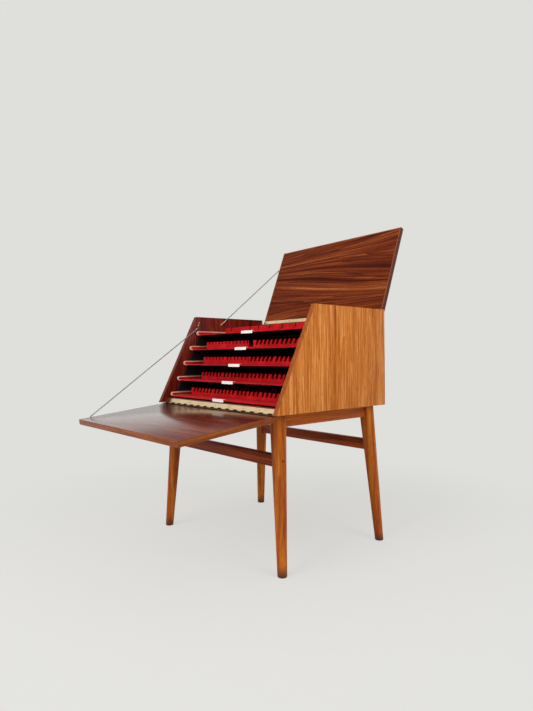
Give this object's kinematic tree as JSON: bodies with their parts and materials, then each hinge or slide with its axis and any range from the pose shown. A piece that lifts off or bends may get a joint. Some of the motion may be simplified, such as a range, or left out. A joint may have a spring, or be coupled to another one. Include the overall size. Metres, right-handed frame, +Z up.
{
  "type": "flatware chest",
  "caption": "Slope-fronted flatware chest on a splayed stand, with a drop flap, a tip-up lid and pull-out notched trays.",
  "frame": {"origin": "on the floor, under the middle of the opened chest's box", "axes": "+Z up, +Y to the back, +X to the right of someone facing the front"},
  "size_m": [0.6, 0.8678, 0.9951],
  "materials": {
    "case_veneer": "oiled orange-brown veneer, upright grain",
    "inner_veneer": "polished red-brown veneer",
    "lid_veneer": "oiled walnut-brown veneer, grain across",
    "leg_wood": "oiled solid wood",
    "stretcher_wood": "oiled solid wood",
    "beech": "bare pale wood",
    "red_flock": "red flock on board",
    "black_board": "matt black",
    "brass": "satin",
    "steel": "drawn wire",
    "white_plastic": "satin"
  },
  "bodies": {
    "case": {"leg_front_left": "leg_wood", "leg_front_right": "leg_wood", "leg_rear_left": "leg_wood", "leg_rear_right": "leg_wood", "apron_left": "leg_wood", "apron_right": "leg_wood", "stretcher_front": "stretcher_wood", "stretcher_rear": "stretcher_wood", "side_panel_left": "case_veneer", "side_panel_right": "case_veneer", "bottom_panel": "inner_veneer", "back_panel": "lid_veneer", "liner_left": "black_board", "liner_right": "black_board", "flap_hinge_case_leaf": "brass", "flap_hinge_pin": "brass", "lid_hinge_case_leaf": "brass", "lid_hinge_pin": "brass", "catch_plate": "brass", "flap_stay_case_stud": "steel", "lid_stay_case_stud": "steel", "flap_stay_wire": "steel", "lid_stay_wire": "steel"},
    "flap": {"flap_board": "inner_veneer", "flap_hinge_moving_leaf": "brass", "flap_stay_flap_stud": "steel"},
    "lid": {"lid_board": "lid_veneer", "lid_hinge_moving_leaf": "brass", "lid_stay_lid_stud": "steel"},
    "tray_1": {"tray_1_floor": "red_flock", "tray_1_rail_left": "beech", "tray_1_rail_right": "beech", "tray_1_pull": "white_plastic", "tray_1_rack_front": "red_flock", "tray_1_rack_rear": "red_flock"},
    "tray_2": {"tray_2_floor": "red_flock", "tray_2_rail_left": "beech", "tray_2_rail_right": "beech", "tray_2_pull": "white_plastic", "tray_2_rack_front": "red_flock", "tray_2_rack_rear": "red_flock"},
    "tray_3": {"tray_3_floor": "red_flock", "tray_3_rail_left": "beech", "tray_3_rail_right": "beech", "tray_3_pull": "white_plastic", "tray_3_rack_front": "red_flock", "tray_3_rack_rear": "red_flock"},
    "tray_4": {"tray_4_floor": "red_flock", "tray_4_rail_left": "beech", "tray_4_rail_right": "beech", "tray_4_pull": "white_plastic", "tray_4_rack_front": "red_flock", "tray_4_rack_rear": "red_flock"},
    "tray_5": {"tray_5_floor": "red_flock", "tray_5_rail_left": "beech", "tray_5_rail_right": "beech", "tray_5_pull": "white_plastic", "tray_5_rack_front": "red_flock", "tray_5_rack_rear": "red_flock"}
  },
  "joints": [
    {"name": "flap_hinge", "type": "hinge", "parent": "case", "child": "flap", "pos_m": [0, -0.13376, 0.42], "axis": [-1, 0, 0], "range_deg": [0, 122.2], "deforming": ["flap_stay_wire"]},
    {"name": "lid_hinge", "type": "hinge", "parent": "case", "child": "lid", "pos_m": [0, 0.30572, 0.699], "axis": [1, 0, 0], "range_deg": [0, 111], "deforming": ["lid_stay_wire"]},
    {"name": "tray_1_slide", "type": "slide", "parent": "case", "child": "tray_1", "axis": [0, 1, 0], "range_m": [-0.178, 0]},
    {"name": "tray_2_slide", "type": "slide", "parent": "case", "child": "tray_2", "axis": [0, 1, 0], "range_m": [-0.193, 0]},
    {"name": "tray_3_slide", "type": "slide", "parent": "case", "child": "tray_3", "axis": [0, 1, 0], "range_m": [-0.209, 0]},
    {"name": "tray_4_slide", "type": "slide", "parent": "case", "child": "tray_4", "axis": [0, 1, 0], "range_m": [-0.224, 0]},
    {"name": "tray_5_slide", "type": "slide", "parent": "case", "child": "tray_5", "axis": [0, 1, 0], "range_m": [-0.24, 0]}
  ]
}
